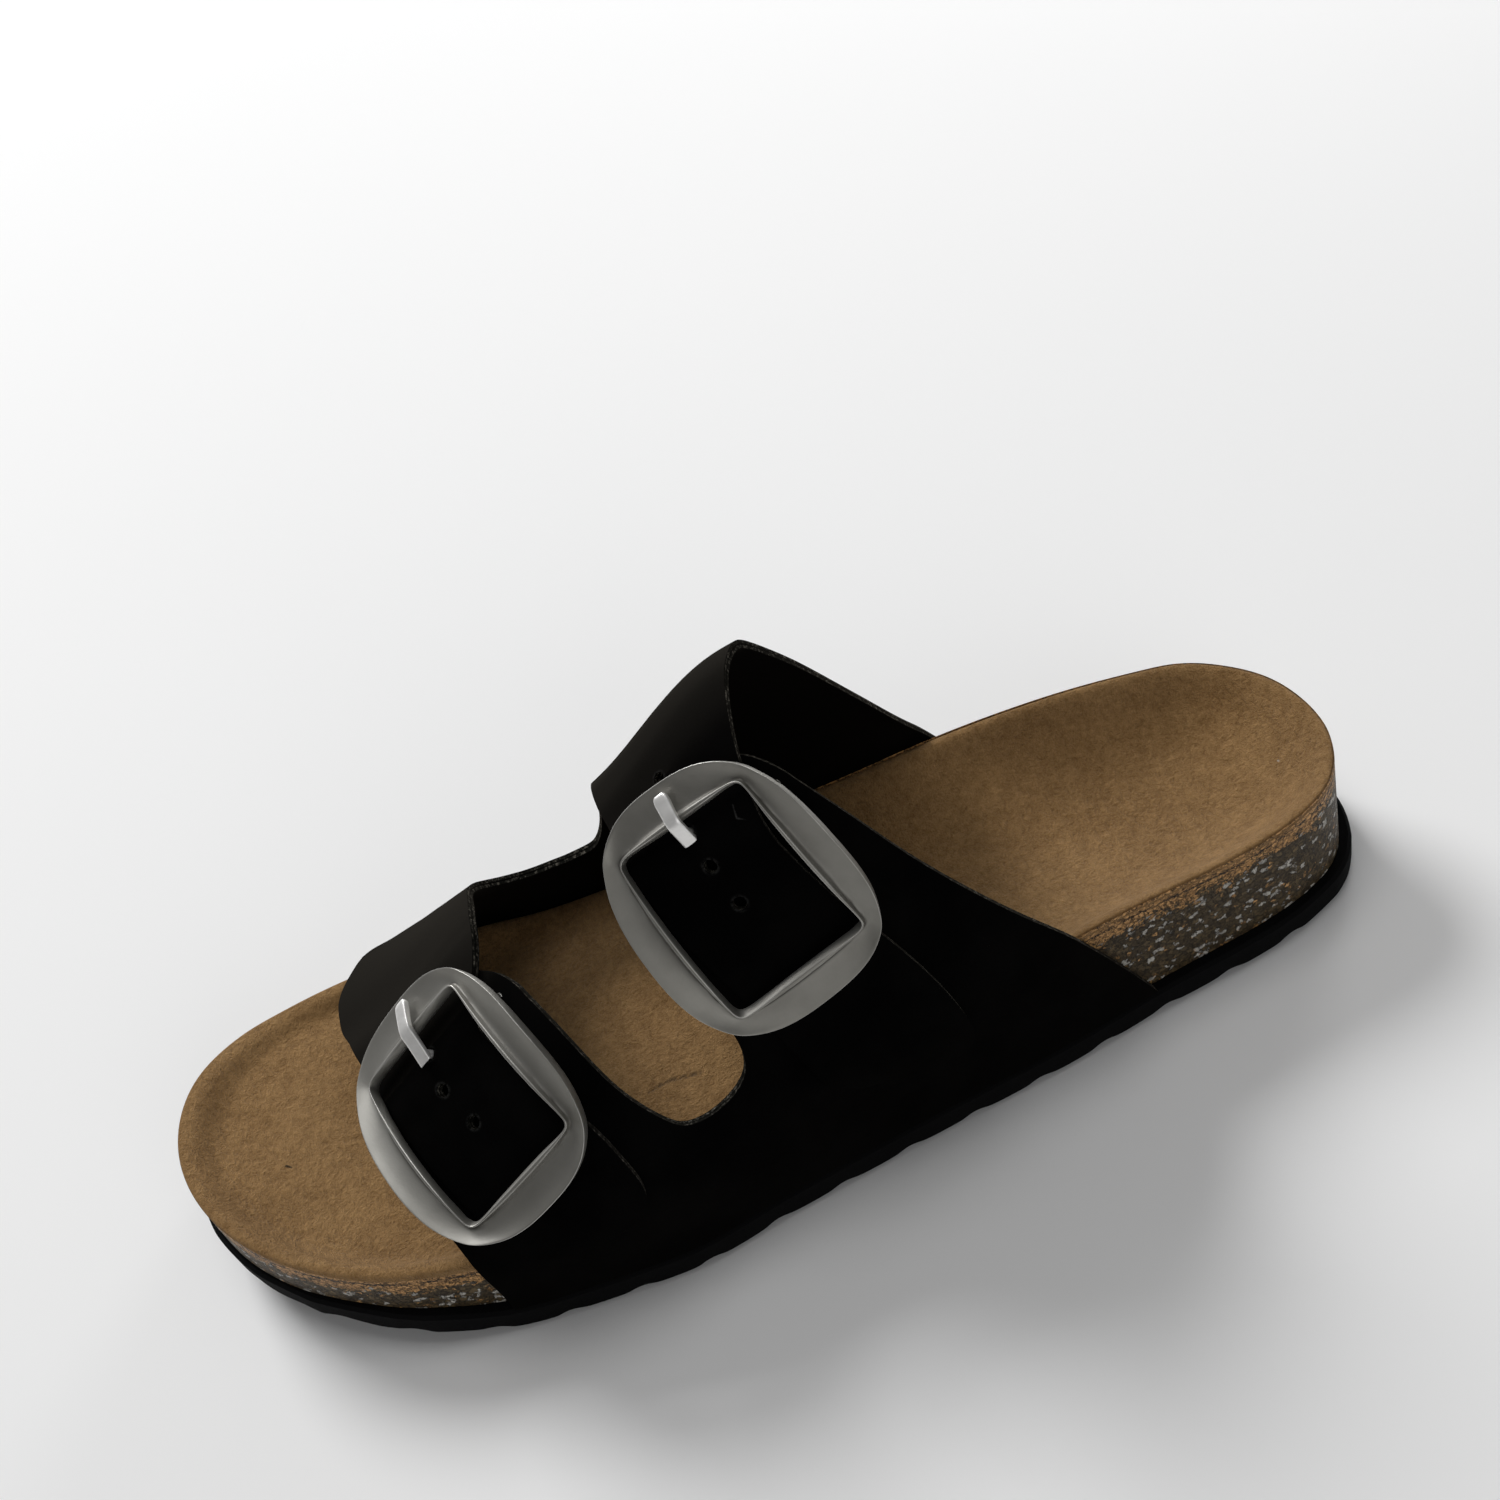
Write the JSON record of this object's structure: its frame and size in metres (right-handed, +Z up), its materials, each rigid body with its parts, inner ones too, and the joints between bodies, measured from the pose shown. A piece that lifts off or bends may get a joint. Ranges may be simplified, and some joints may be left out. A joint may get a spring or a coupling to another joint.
{
  "type": "cork footbed sandal",
  "caption": "Left two-strap slide sandal with a cork footbed, suede lining, black nubuck straps and two large pewter buckles.",
  "frame": {"origin": "on the ground under the middle of the heel rest", "axes": "+Z up, -Y to the toe, +X to the outer side of the left foot"},
  "size_m": [0.0938, 0.255, 0.1078],
  "materials": {
    "outsole_eva": "matte foam, fine skin",
    "cork": "pressed cork grains under a thin clear coat",
    "suede": "napped tan suede",
    "nubuck": "matte black nubuck",
    "pewter": "matte pewter",
    "prong_steel": "bright satin"
  },
  "bodies": {
    "root": {"outsole": "outsole_eva", "midsole": "cork", "insole": "suede", "upper_lateral": "nubuck", "upper_medial": "nubuck", "buckle_front": "pewter", "buckle_rear": "pewter", "prong_front": "prong_steel", "prong_rear": "prong_steel"}
  },
  "joints": []
}
